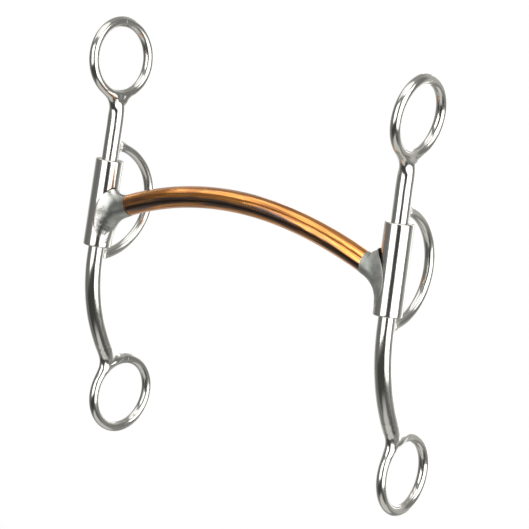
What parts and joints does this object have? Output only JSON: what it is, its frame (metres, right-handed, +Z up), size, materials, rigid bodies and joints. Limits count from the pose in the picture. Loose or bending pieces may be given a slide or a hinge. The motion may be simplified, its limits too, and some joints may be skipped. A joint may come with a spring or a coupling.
{
  "type": "lever bit",
  "caption": "Loose-cheek lever bit: a bowed copper mouth bar welded to two sleeves in which the long shanked cheeks swivel, each with a purchase ring, a rein dee and a curb ring.",
  "frame": {"origin": "middle of the mouth bar's centreline, where the bit is held", "axes": "+X across the mouth to the right cheek, +Y back to the rein side, +Z up to the purchase rings"},
  "size_m": [0.1502, 0.0587, 0.1714],
  "materials": {
    "polished_stainless": "polished round rod and wire with fine scratches",
    "weld_steel": "matte grey, lightly grained weld",
    "worn_copper": "polished copper with long streaks and brown tarnish"
  },
  "bodies": {
    "mouthpiece": {"mouth_core": "polished_stainless", "mouth_cover": "worn_copper", "left_sleeve": "polished_stainless", "right_sleeve": "polished_stainless", "left_mouth_weld": "weld_steel", "right_mouth_weld": "weld_steel"},
    "left_cheek": {"left_shank": "polished_stainless", "left_purchase_ring": "polished_stainless", "left_purchase_weld": "polished_stainless", "left_curb_ring": "polished_stainless", "left_curb_weld": "polished_stainless", "left_rein_dee": "polished_stainless", "left_dee_upper_weld": "weld_steel", "left_dee_lower_weld": "weld_steel"},
    "right_cheek": {"right_shank": "polished_stainless", "right_purchase_ring": "polished_stainless", "right_purchase_weld": "polished_stainless", "right_curb_ring": "polished_stainless", "right_curb_weld": "polished_stainless", "right_rein_dee": "polished_stainless", "right_dee_upper_weld": "weld_steel", "right_dee_lower_weld": "weld_steel"}
  },
  "joints": [
    {"name": "left_cheek_swivel", "type": "hinge", "parent": "mouthpiece", "child": "left_cheek", "pos_m": [-0.0691, 0.00489, -0.01263], "axis": [0.0209, 0, 0.9998], "range_deg": [-71, 256]},
    {"name": "right_cheek_swivel", "type": "hinge", "parent": "mouthpiece", "child": "right_cheek", "pos_m": [0.0691, 0.00489, -0.01263], "axis": [0.0209, 0, -0.9998], "range_deg": [-82, 245]}
  ]
}
